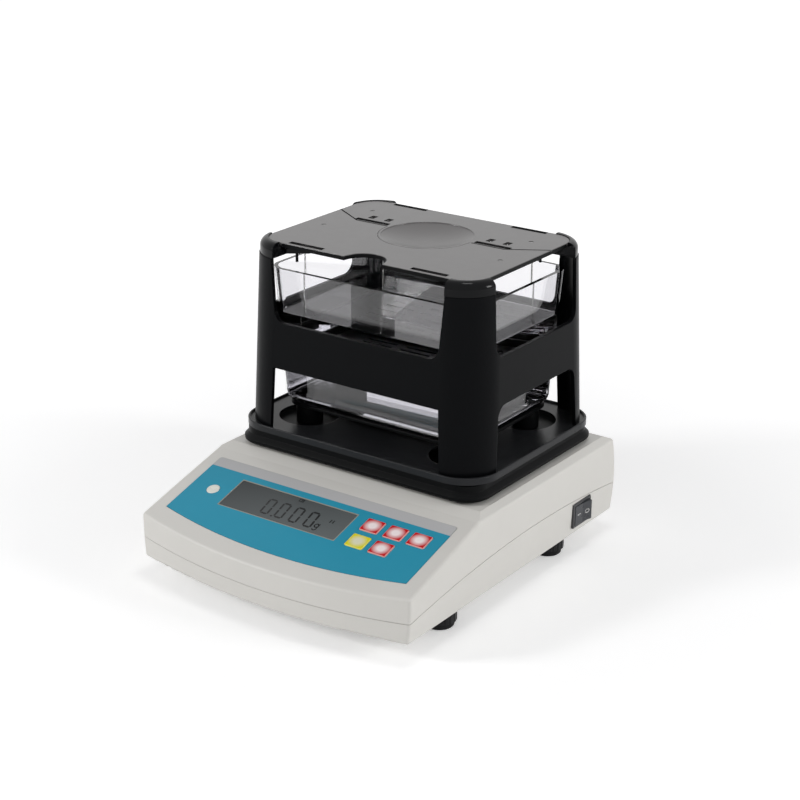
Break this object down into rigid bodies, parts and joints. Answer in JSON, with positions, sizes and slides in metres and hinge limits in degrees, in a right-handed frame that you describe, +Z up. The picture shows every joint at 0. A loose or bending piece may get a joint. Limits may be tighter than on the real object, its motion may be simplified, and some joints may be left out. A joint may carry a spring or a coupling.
{
  "type": "benchtop density meter",
  "caption": "Low benchtop scale with a sloping keypad panel and, over its tray, a clear water tank inside a black frame with corner posts, a belt and a grey plate on top.",
  "frame": {"origin": "on the bench, midway between the side walls and between the foremost point of the bowed front and the rear wall", "axes": "+X to the user's right, +Y to the rear, +Z up"},
  "size_m": [0.2034, 0.2434, 0.1971],
  "materials": {
    "housing": "finely grained, light grey",
    "overlay": "printed film, blue with a grey band",
    "window": "clear over a dark display",
    "electronics": "circuit board",
    "level": "clear vial in a pale cup",
    "switch": "satin, dark grey",
    "inlet": "black, metal pin",
    "cell": "machined",
    "steel": "zinc plated",
    "stage": "moulded, satin black",
    "tank": "clear acrylic",
    "plate": "sheet, fine texture, grey",
    "wire": "polished stainless wire",
    "basket": "moulded, black",
    "red_key": "soft, red",
    "yellow_key": "soft, yellow",
    "foot": "moulded, black",
    "foot_pad": "matt"
  },
  "bodies": {
    "base": {"upper_housing": "housing", "lower_housing": "housing", "housing_screws": "steel", "panel_overlay": "overlay", "display_window": "window", "display_module": "electronics", "keypad_board": "electronics", "spirit_level": "level", "switch_bezel": "switch", "power_inlet": "inlet", "cell_mount": "steel", "load_cell": "cell", "cell_mount_screws": "steel", "main_board": "electronics", "drip_base": "stage", "tank_support": "stage", "water_tank": "tank"},
    "platform": {"weighing_tray": "stage", "platform_stem": "cell", "cell_spider": "cell", "spider_screws": "steel"},
    "measuring_frame": {"post_frame": "stage", "post_cap_front_left": "stage", "post_cap_front_right": "stage", "post_cap_rear_left": "stage", "post_cap_rear_right": "stage", "hanger_wires": "wire", "sample_basket": "basket"},
    "top_plate": {"top_plate_front": "plate", "top_plate_rear": "plate", "plate_strips": "plate", "plate_screws": "steel"},
    "rocker": {"switch_rocker": "switch"},
    "key_1": {"key_1": "red_key"},
    "key_2": {"key_2": "red_key"},
    "key_3": {"key_3": "red_key"},
    "key_4": {"key_4": "yellow_key"},
    "key_5": {"key_5": "red_key"},
    "foot_front_left": {"foot_pad_front_left": "foot_pad", "foot_screw_front_left": "foot"},
    "foot_front_right": {"foot_pad_front_right": "foot_pad", "foot_screw_front_right": "foot"},
    "foot_rear_left": {"foot_pad_rear_left": "foot_pad", "foot_screw_rear_left": "foot"},
    "foot_rear_right": {"foot_pad_rear_right": "foot_pad", "foot_screw_rear_right": "foot"}
  },
  "joints": [
    {"name": "platform_travel", "type": "slide", "parent": "base", "child": "platform", "axis": [0, 0, -1], "range_m": [0, 0.0003], "stiffness_N_per_m": 60000, "springref_m": -0.0003},
    {"name": "frame_lift", "type": "slide", "parent": "platform", "child": "measuring_frame", "axis": [0, 0, 1], "range_m": [0, 0.1]},
    {"name": "top_plate_lift", "type": "slide", "parent": "measuring_frame", "child": "top_plate", "axis": [0, 0, 1], "range_m": [0, 0.04]},
    {"name": "key_1_press", "type": "slide", "parent": "base", "child": "key_1", "axis": [0, 0.2766, -0.961], "range_m": [0, 0.0004], "stiffness_N_per_m": 1500, "springref_m": -0.0003},
    {"name": "key_2_press", "type": "slide", "parent": "base", "child": "key_2", "axis": [0, 0.2766, -0.961], "range_m": [0, 0.0004], "stiffness_N_per_m": 1500, "springref_m": -0.0003},
    {"name": "key_3_press", "type": "slide", "parent": "base", "child": "key_3", "axis": [0, 0.2766, -0.961], "range_m": [0, 0.0004], "stiffness_N_per_m": 1500, "springref_m": -0.0003},
    {"name": "key_4_press", "type": "slide", "parent": "base", "child": "key_4", "axis": [0, 0.2766, -0.961], "range_m": [0, 0.0004], "stiffness_N_per_m": 1500, "springref_m": -0.0003},
    {"name": "key_5_press", "type": "slide", "parent": "base", "child": "key_5", "axis": [0, 0.2766, -0.961], "range_m": [0, 0.0004], "stiffness_N_per_m": 1500, "springref_m": -0.0003},
    {"name": "rocker_tilt", "type": "hinge", "parent": "base", "child": "rocker", "pos_m": [0.09882, 0.0784, 0.0257], "axis": [0, 0, 1], "range_deg": [0, 16]},
    {"name": "foot_front_left_turn", "type": "hinge", "parent": "base", "child": "foot_front_left", "pos_m": [-0.085, -0.0582, 0], "axis": [0, 0, 1], "continuous": true},
    {"name": "foot_front_right_turn", "type": "hinge", "parent": "base", "child": "foot_front_right", "pos_m": [0.085, -0.0582, 0], "axis": [0, 0, 1], "continuous": true},
    {"name": "foot_rear_left_turn", "type": "hinge", "parent": "base", "child": "foot_rear_left", "pos_m": [-0.085, 0.0632, 0], "axis": [0, 0, 1], "continuous": true},
    {"name": "foot_rear_right_turn", "type": "hinge", "parent": "base", "child": "foot_rear_right", "pos_m": [0.085, 0.0632, 0], "axis": [0, 0, 1], "continuous": true}
  ]
}
